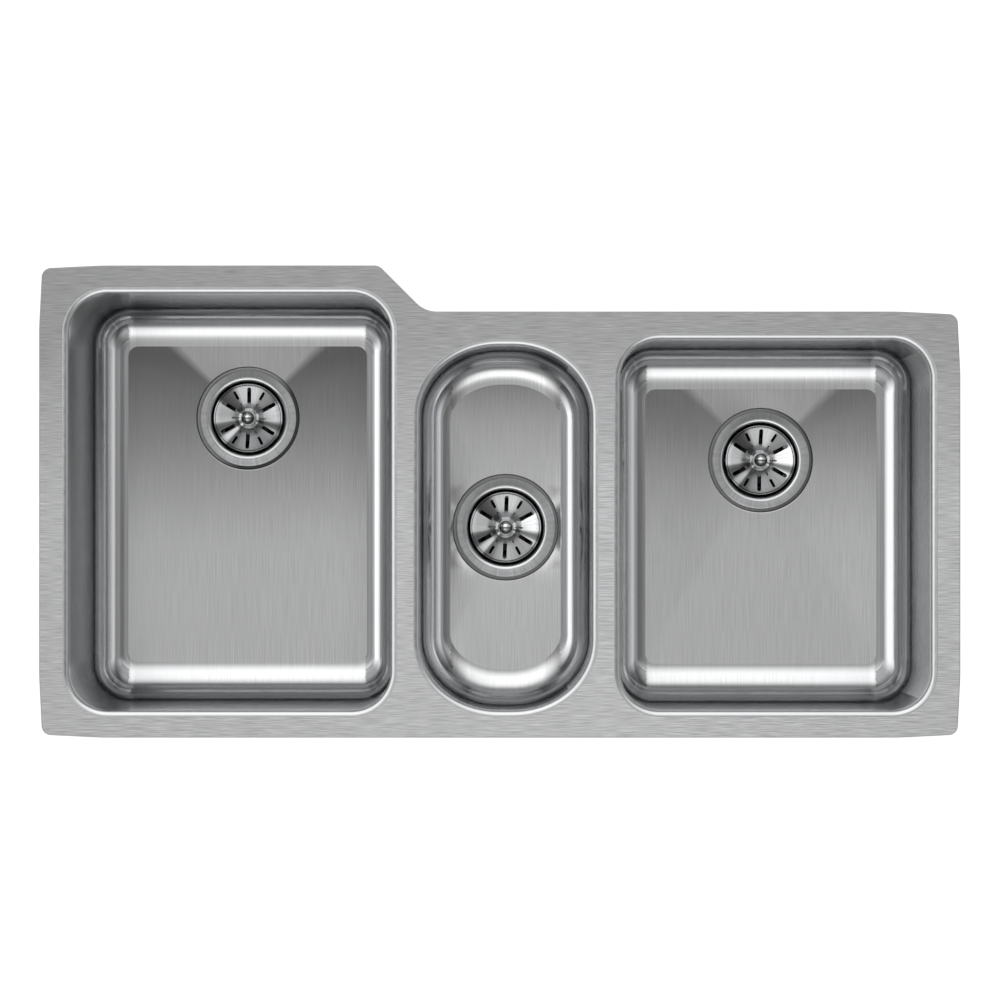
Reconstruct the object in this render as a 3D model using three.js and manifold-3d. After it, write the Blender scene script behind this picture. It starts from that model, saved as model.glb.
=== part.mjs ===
// An undermount triple-bowl sink in brushed stainless steel, with a basket strainer in each bowl.
// Millimetres, +Z up. The origin is on the flange's top face, mid-way along the front rim strip.
// +X runs along the sink, to the right, and +Y runs to the rear.

import * as THREE from "three";
import { mergeVertices } from "three/addons/utils/BufferGeometryUtils.js";
import Module from "manifold-3d";

const wasm = await Module();
wasm.setup();

// ---- Driving dimensions ----

const SHEET = 1.27; // 18 gauge steel
const GAP = 0.3; // between two neighbouring pieces

// Flange: 40 in long, 20 1/2 in deep behind the left bowl and 18 1/2 in behind the others.
const FLANGE = {
  halfLength: 508,
  front: -12,
  rearLeft: 508.7,
  rearRight: 457.9,
  stepStart: -133.3, // where the rear edge starts its 45 degree step
  cornerRadius: 10.5,
  stepOuterRadius: 12,
  stepInnerRadius: 32,
  taper: 3.2, // how far each edge draws in at an outer corner
  taperLength: 68,
  taperBend: 400, // radius of the slight bend where a taper starts
};

// Rolled lip between the flange and each bowl: a quarter of an ellipse.
const LIP = { reach: 6.6, drop: 3.9 };
const SEAM_DEPTH = 14; // the welded seam's depth below the flange

const WALL_DRAFT = Math.tan(THREE.MathUtils.degToRad(0.2));
const FLOOR_FALL = 3; // from the floor's edge to the drain
const FILLET_HEIGHT = 37;

// Bowls: the opening's outline where the lip starts, the radii of its corners and of the floor's corners
// along X and Y, the depth at the drain, and how far the bottom fillet reaches in from each wall.
const BOWLS = {
  left: {
    x0: -482.2,
    x1: -113.8,
    y0: 11.35,
    y1: 484.45,
    corner: { x: 50, y: 50 },
    floorCorner: { x: 12, y: 12 },
    cornerSteps: 4,
    depth: 250.8,
    drain: [-298, 350.1],
    fillet: { side: 35.9, front: 43.2, rear: 42.6 },
  },
  centre: {
    x0: -95.1,
    x1: 108.4,
    y0: 11.35,
    y1: 427.05,
    corner: { x: 94, y: 84 },
    floorCorner: { x: 60, y: 42 },
    cornerSteps: 6,
    depth: 136.5,
    drain: [6.8, 220.4],
    fillet: { side: 31.7, front: 39.2, rear: 36.2 },
  },
  right: {
    x0: 126.6,
    x1: 482.8,
    y0: 11.35,
    y1: 433.65,
    corner: { x: 50, y: 50 },
    floorCorner: { x: 12, y: 12 },
    cornerSteps: 4,
    depth: 203.2,
    drain: [304.7, 299.1],
    fillet: { side: 36.1, front: 42.9, rear: 44.9 },
  },
};

// Sound-damping pads, glued under the bowls.
const PAD_THICKNESS = 3;
const PAD_STOCK = 3 * PAD_THICKNESS; // depth of the slab a pad is cut from, where it follows a wall
const BASE_PADS = {
  left: { x0: -405, x1: -191, y0: 80, y1: 262 },
  centre: { x0: -28, x1: 42, y0: 72, y1: 140 },
  right: { x0: 205, x1: 404, y0: 80, y1: 212 },
};
const SIDE_PAD = { length: 260, height: 110, top: -50 };
const FRONT_PAD = { length: 210, height: 110, top: -50 };

// Drain for a 3 1/2 in hole. Heights are measured from the top of its flange.
const DRAIN_SINK = 0.8; // flange top below the bowl's floor
const DRAIN_SEGMENTS = 20;
const RECESS_RADIUS = 60.6;
const RECESS_DEPTH = 3.2;
const HOLE_RADIUS = 45;
const DRAIN_FLANGE = { radius: 57.15, flatEdge: 55.6, lipStart: 48, thickness: 1.6 };
const BARREL = { radius: 44.4, bore: 42.6, bottom: -31, boreBottom: -22, shoulder: 1.6 };
const THROAT_TURN = 5; // radius of the bright turned-in edge
const SEAT = { outer: 40, outerZ: -26, inner: 26, innerZ: -32 };
const SPIGOT = { radius: 23.6, bore: 20, boreTop: -34, top: -41, bottom: -62 };
const HUB = { bore: 7.6, radius: 10.5, top: -36, height: 4, barWidth: 3.2 };

const GASKET = { inner: 47.5, outer: 56, thickness: 1 };
const WASHER = { inner: 45, outer: 56, thickness: 3 };
const FRICTION_RING = { inner: 45, outer: 55.5, thickness: 1 };
const LOCK_NUT = { inner: 44.9, outer: 52, height: 9, lugs: 4, lugReach: 6, lugWidth: 12 };
const TAIL_WASHER = { inner: 19.5, outer: 23.4, thickness: 2 };
const TAILPIECE = { radius: 19.05, bore: 17.8, length: 101.6, flange: 23.2, flangeThickness: 1.5 };
const COUPLING_NUT = { bore: 24, radius: 28.5, top: -47, base: 3, lugs: 6, lugReach: 2.5, lugWidth: 7 };

// Strainer basket, at rest in its raised, draining position.
const BASKET = {
  radius: 40.5,
  rimTop: -2,
  rimInner: 39.4,
  rimHeight: 1.6, // of the rim's outer edge
  rimStep: { width: 1, drop: 1.2 }, // from the rim's inner edge down to the dish
  floorZ: -12.6,
  floorRadius: 12,
  bore: 3.6,
  thickness: 1,
};
const WIDE_SLOTS = { angles: [2, 62, 122, 182, 242, 302], from: 17, to: 36, width: 3.8 };
const OUTER_SLOTS = { angles: [32, 152, 212, 332], from: 25.4, to: 35.5, width: 2.4 };
const INNER_SLOTS = { angles: [32, 92, 152, 212, 272, 332], from: 11, to: 20, width: 2 };
const STEM = { radius: 3.2, collar: 8.9, collarHeight: 1.5, foot: -48 };
const KNOB = { radius: 7.5, centreZ: 3 };
const BACKING = { radius: 19, thickness: 1 }; // steel disc between the cup and the stopper
const STOPPER = { radius: 27, bore: 3.6, thickness: 3, boss: 16 };
const STOPPER_TRAVEL = 5.7; // down from rest until the stopper meets its seat
const CLIP = { inner: 3.6, outer: 7, top: -34.5, height: 11, slot: 2.4 };

const OVERLAP = 1; // how far joined solids reach into each other, and cutters reach past what they cut
const LUG_ROOT = 3; // how far a nut's lug reaches into its ring

const COLOURS = {
  brushed: { color: 0xb4b5b6, roughness: 0.38, metalness: 1 },
  satin: { color: 0xa4a5a6, roughness: 0.5, metalness: 1 },
  polished: { color: 0xcfd0d1, roughness: 0.15, metalness: 1 },
  rubber: { color: 0x1d1d1e, roughness: 0.8, metalness: 0 },
  pad: { color: 0x3b3d3f, roughness: 0.9, metalness: 0 },
  fibre: { color: 0x8d7a58, roughness: 0.9, metalness: 0 },
  nylon: { color: 0xd9d9d4, roughness: 0.6, metalness: 0 },
};

// ---- Solids ----

function toSolid(geometry) {
  const bare = geometry.clone();
  bare.deleteAttribute("normal");
  bare.deleteAttribute("uv");
  const merged = mergeVertices(bare);
  return new wasm.Manifold(
    new wasm.Mesh({
      numProp: 3,
      vertProperties: merged.attributes.position.array,
      triVerts: new Uint32Array(merged.index.array),
    }),
  );
}

function toGeometry(solid) {
  const mesh = solid.getMesh();
  const geometry = new THREE.BufferGeometry();
  geometry.setAttribute("position", new THREE.BufferAttribute(mesh.vertProperties, 3));
  geometry.setIndex(new THREE.BufferAttribute(mesh.triVerts, 1));
  geometry.computeVertexNormals();
  return geometry;
}

// Turns a closed outline of [radius, height] pairs about the Z axis.
// The outline runs anticlockwise, seen with the radius to the right and the height up.
function turned(outline) {
  const points = outline.map(([radius, height]) => new THREE.Vector2(radius, height));
  points.push(points[0].clone());
  return toSolid(new THREE.LatheGeometry(points, DRAIN_SEGMENTS).rotateX(Math.PI / 2));
}

// A flat ring from z = bottom to z = top.
function washer(inner, outer, bottom, top) {
  return turned([
    [inner, bottom],
    [outer, bottom],
    [outer, top],
    [inner, top],
  ]);
}

// A rod on the Z axis.
function rod(radius, bottom, top, segments = DRAIN_SEGMENTS) {
  const height = top - bottom;
  const cylinder = new THREE.CylinderGeometry(radius, radius, height, segments);
  return toSolid(cylinder.rotateX(Math.PI / 2).translate(0, 0, bottom + height / 2));
}

// An upright box between two corners.
function block([x0, y0, z0], [x1, y1, z1]) {
  const box = new THREE.BoxGeometry(x1 - x0, y1 - y0, z1 - z0);
  return toSolid(box.translate((x0 + x1) / 2, (y0 + y1) / 2, (z0 + z1) / 2));
}

// A radial bar from one radius to another, turned clockwise from +Y by an angle in degrees.
function radialBar(from, to, width, bottom, top, angle) {
  return block([-width / 2, from, bottom], [width / 2, to, top]).rotate([0, 0, -angle]);
}

function evenAngles(count) {
  return Array.from({ length: count }, (_, i) => (i * 360) / count);
}

// A rectangle with elliptical corners as a level ring of points, anticlockwise seen from above.
function roundedRing({ x0, x1, y0, y1 }, corner, z, steps) {
  const centres = [
    [x1 - corner.x, y1 - corner.y],
    [x0 + corner.x, y1 - corner.y],
    [x0 + corner.x, y0 + corner.y],
    [x1 - corner.x, y0 + corner.y],
  ];
  return centres.flatMap(([cx, cy], quarter) =>
    Array.from({ length: steps + 1 }, (_, step) => {
      const angle = ((quarter + step / steps) * Math.PI) / 2;
      const x = cx + corner.x * Math.cos(angle);
      const y = cy + corner.y * Math.sin(angle);
      return new THREE.Vector3(x, y, z);
    }),
  );
}

// A closed solid through rings that run from the top down. Its top is flat and its bottom meets in apex.
function loft(rings, apex) {
  const count = rings[0].length;
  const topCentre = rings[0].reduce((sum, p) => sum.add(p), new THREE.Vector3());
  topCentre.divideScalar(count);
  const points = [...rings.flat(), topCentre, apex];
  const topIndex = points.length - 2;
  const apexIndex = points.length - 1;
  const lastRing = (rings.length - 1) * count;
  const faces = [];
  for (let i = 0; i < count; i += 1) {
    const next = (i + 1) % count;
    faces.push(topIndex, i, next);
    for (let upper = 0; upper < lastRing; upper += count) {
      const lower = upper + count;
      faces.push(upper + i, lower + i, upper + next);
      faces.push(upper + next, lower + i, lower + next);
    }
    faces.push(apexIndex, lastRing + next, lastRing + i);
  }
  const geometry = new THREE.BufferGeometry().setFromPoints(points);
  geometry.setIndex(faces);
  return toSolid(geometry);
}

// A closed path through corners of { x, y, radius }, with each corner rounded by an arc.
function roundedShape(corners) {
  const shape = new THREE.Shape();
  corners.forEach(({ x, y, radius }, i) => {
    const corner = new THREE.Vector2(x, y);
    const before = corners[(i + corners.length - 1) % corners.length];
    const after = corners[(i + 1) % corners.length];
    const back = new THREE.Vector2(before.x - x, before.y - y).normalize();
    const ahead = new THREE.Vector2(after.x - x, after.y - y).normalize();
    const halfAngle = Math.acos(THREE.MathUtils.clamp(back.dot(ahead), -1, 1)) / 2;
    const tangent = radius / Math.tan(halfAngle);
    const start = corner.clone().addScaledVector(back, tangent);
    const end = corner.clone().addScaledVector(ahead, tangent);
    const bisector = back.clone().add(ahead).normalize();
    const centre = corner.clone().addScaledVector(bisector, radius / Math.sin(halfAngle));
    const startAngle = start.sub(centre).angle();
    const endAngle = end.sub(centre).angle();
    const clockwise = back.cross(ahead) > 0;
    shape.absarc(centre.x, centre.y, radius, startAngle, endAngle, clockwise);
  });
  shape.closePath();
  return shape;
}

// ---- Bowls and flange ----

// The rectangle drawn in by inset.side, inset.front and inset.rear.
function drawnIn(bowl, inset) {
  return {
    x0: bowl.x0 + inset.side,
    x1: bowl.x1 - inset.side,
    y0: bowl.y0 + inset.front,
    y1: bowl.y1 - inset.rear,
  };
}

function evenInset(inset) {
  return { side: inset, front: inset, rear: inset };
}

// How far a bowl's inner wall lies inside the opening's outline at height z.
function wallInset(z) {
  return LIP.reach + (-z - LIP.drop) * WALL_DRAFT;
}

function insetCorner({ x, y }, inset) {
  return { x: x - inset, y: y - inset };
}

// Level ring of a bowl, the same inset from the opening's outline all round.
function insetRing(bowl, inset, z) {
  return roundedRing(drawnIn(bowl, evenInset(inset)), insetCorner(bowl.corner, inset), z, bowl.cornerSteps);
}

// Solid inside a bowl's inner surface (grow = 0) or outer surface (grow = SHEET), from z = top down.
const FILLET_STEPS = 3;
function bowlSolid(bowl, top, grow) {
  const filletTop = -bowl.depth + FLOOR_FALL + FILLET_HEIGHT;
  const filletInset = wallInset(filletTop);
  const wallCorner = insetCorner(bowl.corner, filletInset - grow);
  const floorCorner = insetCorner(bowl.floorCorner, -grow);
  const rings = [insetRing(bowl, wallInset(top) - grow, top)];
  for (let step = 0; step <= FILLET_STEPS; step += 1) {
    const angle = (step / FILLET_STEPS) * (Math.PI / 2);
    const reach = (width) => filletInset + width - (width + grow) * Math.cos(angle);
    const inset = {
      side: reach(bowl.fillet.side),
      front: reach(bowl.fillet.front),
      rear: reach(bowl.fillet.rear),
    };
    const share = 1 - Math.cos(angle);
    const corner = {
      x: THREE.MathUtils.lerp(wallCorner.x, floorCorner.x, share),
      y: THREE.MathUtils.lerp(wallCorner.y, floorCorner.y, share),
    };
    const z = filletTop - (FILLET_HEIGHT + grow) * Math.sin(angle);
    rings.push(roundedRing(drawnIn(bowl, inset), corner, z, bowl.cornerSteps));
  }
  const [drainX, drainY] = bowl.drain;
  return loft(rings, new THREE.Vector3(drainX, drainY, -bowl.depth - grow));
}

function atDrain(bowl, solid) {
  const [x, y] = bowl.drain;
  return solid.translate([x, y, -bowl.depth - DRAIN_SINK]);
}

// The bowl's solid with the round recess that takes the drain's flange.
function withRecess(bowl, solid, grow) {
  const recess = rod(RECESS_RADIUS + grow, -RECESS_DEPTH - grow, DRAIN_SINK + FLOOR_FALL);
  return solid.add(atDrain(bowl, recess));
}

function drawnBowl(bowl) {
  const top = -SEAM_DEPTH - GAP;
  const outer = withRecess(bowl, bowlSolid(bowl, top, SHEET), SHEET);
  const inner = withRecess(bowl, bowlSolid(bowl, top + OVERLAP, 0), 0);
  const hole = atDrain(bowl, rod(HOLE_RADIUS, -RECESS_DEPTH - 2 * SHEET, 0));
  return outer.subtract(inner).subtract(hole);
}

// Solid inside the lip's top surface (grow = 0) or its underside (grow = SHEET), from z = top to z = bottom.
const LIP_STEPS = 2;
function lipSolid(bowl, grow, top, bottom) {
  const rings = [insetRing(bowl, 0, top)];
  for (let step = 0; step <= LIP_STEPS; step += 1) {
    const angle = (step / LIP_STEPS) * (Math.PI / 2);
    const z = -LIP.drop + (LIP.drop - grow) * Math.cos(angle);
    rings.push(insetRing(bowl, (LIP.reach - grow) * Math.sin(angle), z));
  }
  rings.push(insetRing(bowl, wallInset(bottom) - grow, bottom));
  const middle = new THREE.Vector3((bowl.x0 + bowl.x1) / 2, (bowl.y0 + bowl.y1) / 2, bottom);
  return loft(rings, middle);
}

// The flange's outline: a long rectangle with a step in its rear edge, drawn in a little at each outer corner.
function flangeOutline() {
  const { halfLength, front, rearLeft, rearRight, stepStart, taper, taperLength } = FLANGE;
  const stepRun = rearLeft - rearRight;
  const soft = FLANGE.taperBend;
  const square = FLANGE.cornerRadius;
  return roundedShape([
    { x: -halfLength + taper, y: front + taper, radius: square },
    { x: -halfLength + taperLength, y: front, radius: soft },
    { x: halfLength - taperLength, y: front, radius: soft },
    { x: halfLength - taper, y: front + taper, radius: square },
    { x: halfLength, y: front + taperLength, radius: soft },
    { x: halfLength, y: rearRight - taperLength, radius: soft },
    { x: halfLength - taper, y: rearRight - taper, radius: square },
    { x: halfLength - taperLength, y: rearRight, radius: soft },
    { x: stepStart + stepRun, y: rearRight, radius: FLANGE.stepInnerRadius },
    { x: stepStart, y: rearLeft, radius: FLANGE.stepOuterRadius },
    { x: -halfLength + taperLength, y: rearLeft, radius: soft },
    { x: -halfLength + taper, y: rearLeft - taper, radius: square },
    { x: -halfLength, y: rearLeft - taperLength, radius: soft },
    { x: -halfLength, y: front + taperLength, radius: soft },
  ]);
}

function deckFlange() {
  const options = { depth: SHEET, bevelEnabled: false, curveSegments: 2 };
  const plate = new THREE.ExtrudeGeometry(flangeOutline(), options).translate(0, 0, -SHEET);
  let solid = toSolid(plate);
  for (const bowl of Object.values(BOWLS)) {
    solid = solid.add(lipSolid(bowl, SHEET, -SHEET / 2, -SEAM_DEPTH));
  }
  for (const bowl of Object.values(BOWLS)) {
    solid = solid.subtract(lipSolid(bowl, 0, OVERLAP, -SEAM_DEPTH - OVERLAP));
  }
  return solid;
}

// A pad is a slab pressed against the bowl's outer surface, which is moved by the gap towards the pad.
function padAgainst(bowl, slab, towards) {
  const surface = bowlSolid(bowl, -SEAM_DEPTH, SHEET);
  return slab.subtract(surface.translate(towards.map((part) => part * GAP)));
}

function basePad(bowl, { x0, x1, y0, y1 }) {
  const bottom = -bowl.depth - SHEET - PAD_THICKNESS;
  return padAgainst(bowl, block([x0, y0, bottom], [x1, y1, bottom + 2 * PAD_THICKNESS]), [0, 0, -1]);
}

// A pad on the wall that faces away along X: side is -1 for the left wall and 1 for the right wall.
function sidePad(bowl, side) {
  const wall = side < 0 ? bowl.x0 : bowl.x1;
  const face = wall - side * (LIP.reach - SHEET - PAD_THICKNESS);
  const middle = (bowl.y0 + bowl.y1) / 2;
  const xs = [face, face - side * PAD_STOCK].sort((a, b) => a - b);
  const low = [xs[0], middle - SIDE_PAD.length / 2, SIDE_PAD.top - SIDE_PAD.height];
  const high = [xs[1], middle + SIDE_PAD.length / 2, SIDE_PAD.top];
  return padAgainst(bowl, block(low, high), [side, 0, 0]);
}

function frontPad(bowl) {
  const face = bowl.y0 + LIP.reach - SHEET - PAD_THICKNESS;
  const middle = (bowl.x0 + bowl.x1) / 2;
  const low = [middle - FRONT_PAD.length / 2, face, FRONT_PAD.top - FRONT_PAD.height];
  const high = [middle + FRONT_PAD.length / 2, face + PAD_STOCK, FRONT_PAD.top];
  return padAgainst(bowl, block(low, high), [0, -1, 0]);
}

// ---- Drain ----

function drainBody() {
  const { radius, flatEdge, lipStart, thickness } = DRAIN_FLANGE;
  const turnedEdge = [0, 45, 90].map((degrees) => {
    const angle = THREE.MathUtils.degToRad(degrees);
    const along = THROAT_TURN * Math.sin(angle);
    return [lipStart - along, -THROAT_TURN + THROAT_TURN * Math.cos(angle)];
  });
  const shell = turned([
    [radius, -thickness],
    [radius, -thickness / 2],
    [flatEdge, 0],
    ...turnedEdge,
    [BARREL.bore, BARREL.boreBottom],
    [SEAT.outer, SEAT.outerZ],
    [SEAT.inner, SEAT.innerZ],
    [SPIGOT.bore, SPIGOT.boreTop],
    [SPIGOT.bore, SPIGOT.bottom],
    [SPIGOT.radius, SPIGOT.bottom],
    [SPIGOT.radius, SPIGOT.top],
    [BARREL.radius, BARREL.bottom],
    [BARREL.radius, -thickness - BARREL.shoulder],
    [BARREL.radius + BARREL.shoulder, -thickness],
  ]);
  const bottom = HUB.top - HUB.height;
  const bars = evenAngles(4).map((angle) =>
    radialBar(HUB.bore + OVERLAP, SPIGOT.bore + OVERLAP, HUB.barWidth, bottom, HUB.top, angle),
  );
  const hub = washer(HUB.bore, HUB.radius, bottom, HUB.top);
  return bars.reduce((solid, bar) => solid.add(bar), shell.add(hub));
}

// A nut: a ring with lugs spaced evenly round its outside.
function luggedNut(ring, { outer, lugs, lugReach, lugWidth }, bottom, top) {
  const bars = evenAngles(lugs).map((angle) =>
    radialBar(outer - LUG_ROOT, outer + lugReach, lugWidth, bottom, top, angle),
  );
  return bars.reduce((solid, bar) => solid.add(bar), ring);
}

function lockNut(top) {
  const bottom = top - LOCK_NUT.height;
  const ring = washer(LOCK_NUT.inner, LOCK_NUT.outer, bottom, top);
  return luggedNut(ring, LOCK_NUT, bottom, top);
}

function couplingNut(flangeBottom) {
  const { bore, radius, top, base } = COUPLING_NUT;
  const innerFloor = flangeBottom - GAP;
  const bottom = innerFloor - base;
  const hole = TAILPIECE.radius + GAP;
  const ring = turned([
    [hole, bottom],
    [radius, bottom],
    [radius, top],
    [bore, top],
    [bore, innerFloor],
    [hole, innerFloor],
  ]);
  return luggedNut(ring, { ...COUPLING_NUT, outer: radius }, bottom, top);
}

function tailpiece(top) {
  const { radius, bore, length, flange, flangeThickness } = TAILPIECE;
  return turned([
    [bore, top - length],
    [radius, top - length],
    [radius, top - flangeThickness],
    [flange, top - flangeThickness],
    [flange, top],
    [bore, top],
  ]);
}

// ---- Strainer basket ----

function slotCutters({ angles, from, to, width }) {
  return angles.map((angle) =>
    radialBar(from, to, width, BASKET.floorZ - 2 * BASKET.thickness, 0, angle),
  );
}

function basketCup() {
  const { radius, rimTop, rimInner, rimHeight, rimStep } = BASKET;
  const { floorZ, floorRadius, bore, thickness } = BASKET;
  const dish = turned([
    [bore, floorZ - thickness],
    [floorRadius, floorZ - thickness],
    [rimInner, rimTop - rimHeight - thickness],
    [radius, rimTop - rimHeight],
    [radius, rimTop],
    [rimInner, rimTop],
    [rimInner - rimStep.width, rimTop - rimStep.drop],
    [floorRadius, floorZ],
    [bore, floorZ],
  ]);
  const slots = [WIDE_SLOTS, OUTER_SLOTS, INNER_SLOTS].flatMap(slotCutters);
  return slots.reduce((solid, slot) => solid.subtract(slot), dish);
}

const STEM_SEGMENTS = 12;

// Rod with a collar that sits on the basket's floor.
function basketStem() {
  const collarBottom = BASKET.floorZ + GAP;
  const top = KNOB.centreZ - KNOB.radius - GAP;
  const shaft = rod(STEM.radius, STEM.foot, top, STEM_SEGMENTS);
  const collar = rod(STEM.collar, collarBottom, collarBottom + STEM.collarHeight);
  return shaft.add(collar);
}

function basketKnob() {
  const ball = new THREE.SphereGeometry(KNOB.radius, STEM_SEGMENTS, STEM_SEGMENTS / 2);
  return toSolid(ball.rotateX(Math.PI / 2).translate(0, 0, KNOB.centreZ));
}

function basketStopper(bossTop) {
  const seatSlope = (SEAT.innerZ - SEAT.outerZ) / (SEAT.outer - SEAT.inner);
  const seatZ = SEAT.outerZ + seatSlope * (SEAT.outer - STOPPER.radius);
  const bottom = seatZ + STOPPER_TRAVEL + GAP;
  const top = bottom + STOPPER.thickness;
  return turned([
    [STOPPER.bore, bottom],
    [STOPPER.radius, bottom],
    [STOPPER.radius, top],
    [STOPPER.boss, top],
    [STOPPER.boss, bossTop],
    [STOPPER.bore, bossTop],
  ]);
}

// Split spring sleeve on the stem's foot, which grips the hub in the drain.
function springClip() {
  const { inner, outer, top, height, slot } = CLIP;
  const sleeve = washer(inner, outer, top - height, top);
  const cut = radialBar(0, outer + OVERLAP, slot, top - height - OVERLAP, top + OVERLAP, 0);
  return sleeve.subtract(cut);
}

// ---- Assembly ----

const sink = new THREE.Group();

function addNode(parent, name, solid, colour) {
  const material = new THREE.MeshStandardMaterial(COLOURS[colour]);
  const mesh = new THREE.Mesh(toGeometry(solid), material);
  mesh.name = name;
  parent.add(mesh);
}

// One drain, with its origin on the axis at the top of its flange.
function drainGroup(prefix) {
  const group = new THREE.Group();
  const add = (name, solid, colour) => addNode(group, `${prefix}_${name}`, solid, colour);

  const gasketTop = -DRAIN_FLANGE.thickness - GAP;
  const washerTop = -RECESS_DEPTH - SHEET - GAP;
  const ringTop = washerTop - WASHER.thickness - GAP;
  const nutTop = ringTop - FRICTION_RING.thickness - GAP;
  const tailWasherTop = SPIGOT.bottom - GAP;
  const tailpieceTop = tailWasherTop - TAIL_WASHER.thickness - GAP;
  const backingTop = BASKET.floorZ - BASKET.thickness - GAP;
  const backingBottom = backingTop - BACKING.thickness;
  const stack = (ring, top) => washer(ring.inner, ring.outer, top - ring.thickness, top);

  add("drain_body", drainBody(), "polished");
  add("flange_gasket", stack(GASKET, gasketTop), "rubber");
  add("rubber_washer", stack(WASHER, washerTop), "rubber");
  add("friction_ring", stack(FRICTION_RING, ringTop), "fibre");
  add("lock_nut", lockNut(nutTop), "satin");
  add("tailpiece_washer", stack(TAIL_WASHER, tailWasherTop), "nylon");
  add("tailpiece", tailpiece(tailpieceTop), "polished");
  add("coupling_nut", couplingNut(tailpieceTop - TAILPIECE.flangeThickness), "polished");
  add("basket_cup", basketCup(), "polished");
  add("basket_stem", basketStem(), "polished");
  add("basket_knob", basketKnob(), "polished");
  add("basket_backing", washer(BASKET.bore, BACKING.radius, backingBottom, backingTop), "satin");
  add("basket_stopper", basketStopper(backingBottom - GAP), "rubber");
  add("spring_clip", springClip(), "satin");
  return group;
}

addNode(sink, "deck_flange", deckFlange(), "brushed");
for (const [name, bowl] of Object.entries(BOWLS)) {
  addNode(sink, `${name}_bowl`, drawnBowl(bowl), "brushed");
  addNode(sink, `${name}_base_pad`, basePad(bowl, BASE_PADS[name]), "pad");
  const drain = drainGroup(name);
  const [x, y] = bowl.drain;
  drain.position.set(x, y, -bowl.depth - DRAIN_SINK);
  sink.add(drain);
}
addNode(sink, "left_side_pad", sidePad(BOWLS.left, -1), "pad");
addNode(sink, "left_front_pad", frontPad(BOWLS.left), "pad");
addNode(sink, "right_side_pad", sidePad(BOWLS.right, 1), "pad");
addNode(sink, "right_front_pad", frontPad(BOWLS.right), "pad");

export default sink;
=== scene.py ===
# Looks of an undermount triple-bowl sink in brushed stainless steel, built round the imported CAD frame.
# Metres, in the CAD's frame: +X along the sink, +Y to the rear, +Z up, and z = 0 on the flange's top face.

import math

import bmesh
import bpy
import numpy as np
from mathutils import Matrix, Vector


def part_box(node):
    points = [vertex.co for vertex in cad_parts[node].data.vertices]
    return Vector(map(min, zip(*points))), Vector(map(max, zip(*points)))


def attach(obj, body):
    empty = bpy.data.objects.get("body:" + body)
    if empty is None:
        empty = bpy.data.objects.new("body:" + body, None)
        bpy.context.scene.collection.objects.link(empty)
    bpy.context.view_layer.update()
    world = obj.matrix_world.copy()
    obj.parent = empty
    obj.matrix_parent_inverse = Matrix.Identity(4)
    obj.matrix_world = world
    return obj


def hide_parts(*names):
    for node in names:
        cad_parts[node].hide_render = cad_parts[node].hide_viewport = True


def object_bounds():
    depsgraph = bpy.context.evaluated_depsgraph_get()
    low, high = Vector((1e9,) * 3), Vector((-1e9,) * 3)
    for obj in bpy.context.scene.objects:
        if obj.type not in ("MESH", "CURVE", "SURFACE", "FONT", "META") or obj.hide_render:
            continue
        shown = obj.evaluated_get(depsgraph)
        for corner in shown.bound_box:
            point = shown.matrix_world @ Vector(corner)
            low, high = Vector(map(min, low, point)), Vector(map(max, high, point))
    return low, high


MM = 0.001

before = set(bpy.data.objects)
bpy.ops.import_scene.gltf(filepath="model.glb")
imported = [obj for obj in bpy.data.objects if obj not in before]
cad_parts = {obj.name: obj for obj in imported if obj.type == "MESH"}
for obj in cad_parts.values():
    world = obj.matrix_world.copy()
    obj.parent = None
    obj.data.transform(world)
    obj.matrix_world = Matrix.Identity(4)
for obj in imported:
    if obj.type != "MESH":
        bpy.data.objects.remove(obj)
cad_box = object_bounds()

# ---- Sizes of the real sheet and its forming, as in the CAD ----

SHEET = 1.27 * MM
LIP_REACH, LIP_DROP = 6.6 * MM, 3.9 * MM  # of the rolled lip of each opening
WALL_DRAFT = math.tan(math.radians(0.2))
FLOOR_FALL = 3 * MM  # from the floor's edge to the drain's recess
FILLET_HEIGHT = 37 * MM  # of the fillet between walls and floor
RECESS_RADIUS, RECESS_DEPTH = 60.6 * MM, 3.2 * MM  # of the step that the drain's flange sits in
RECESS_TURN, RECESS_FOOT = 0.9 * MM, 0.5 * MM  # radius of its upper edge and chamfer at its foot
HOLE_RADIUS = 45 * MM
DRAIN_SINK = 0.8 * MM  # from the floor beside the recess down to the top of the drain's flange
SEAM_HALF_GAP = 0.1 * MM  # between a flange's collar and the welded-on bowl

# Radii of each opening's corners and of its floor's corners along X and Y, and how far the bottom fillet
# reaches in from the side, front and rear walls, in millimetres.
BOWLS = {
    "left": ((50, 50), (12, 12), (35.9, 43.2, 42.6)),
    "centre": ((94, 84), (60, 42), (31.7, 39.2, 36.2)),
    "right": ((50, 50), (12, 12), (36.1, 42.9, 44.9)),
}

STEP_START = -133.3 * MM  # where the flange's rear edge turns into its 45 degree step
STEP_DEPTH = 50.8 * MM
CORNER_RADIUS = 10.5 * MM
STEP_RADII = (12 * MM, 32 * MM)
TAPER, TAPER_LENGTH = 3.2 * MM, 68 * MM  # how far an edge of the flange draws in towards its corners
TAPER_BEND = 400 * MM
EDGE_ROUNDING = 0.3 * MM

CORNER_STEPS, SIDE_STEPS = 20, 16  # faces of a bowl's ring at each corner and along each side
SIDES = ("rear", "left", "front", "right")  # the order of a ring's sides
TURN_STEPS = 96  # faces round a turned piece

# Zones of a surface, by the way its brush lines run.
ALONG_Y, AROUND, TURNED = range(3)
TURNED_RADIUS = 30 * MM  # a turned zone's V coordinate is the angle times this


# ---- Outlines ----

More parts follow.
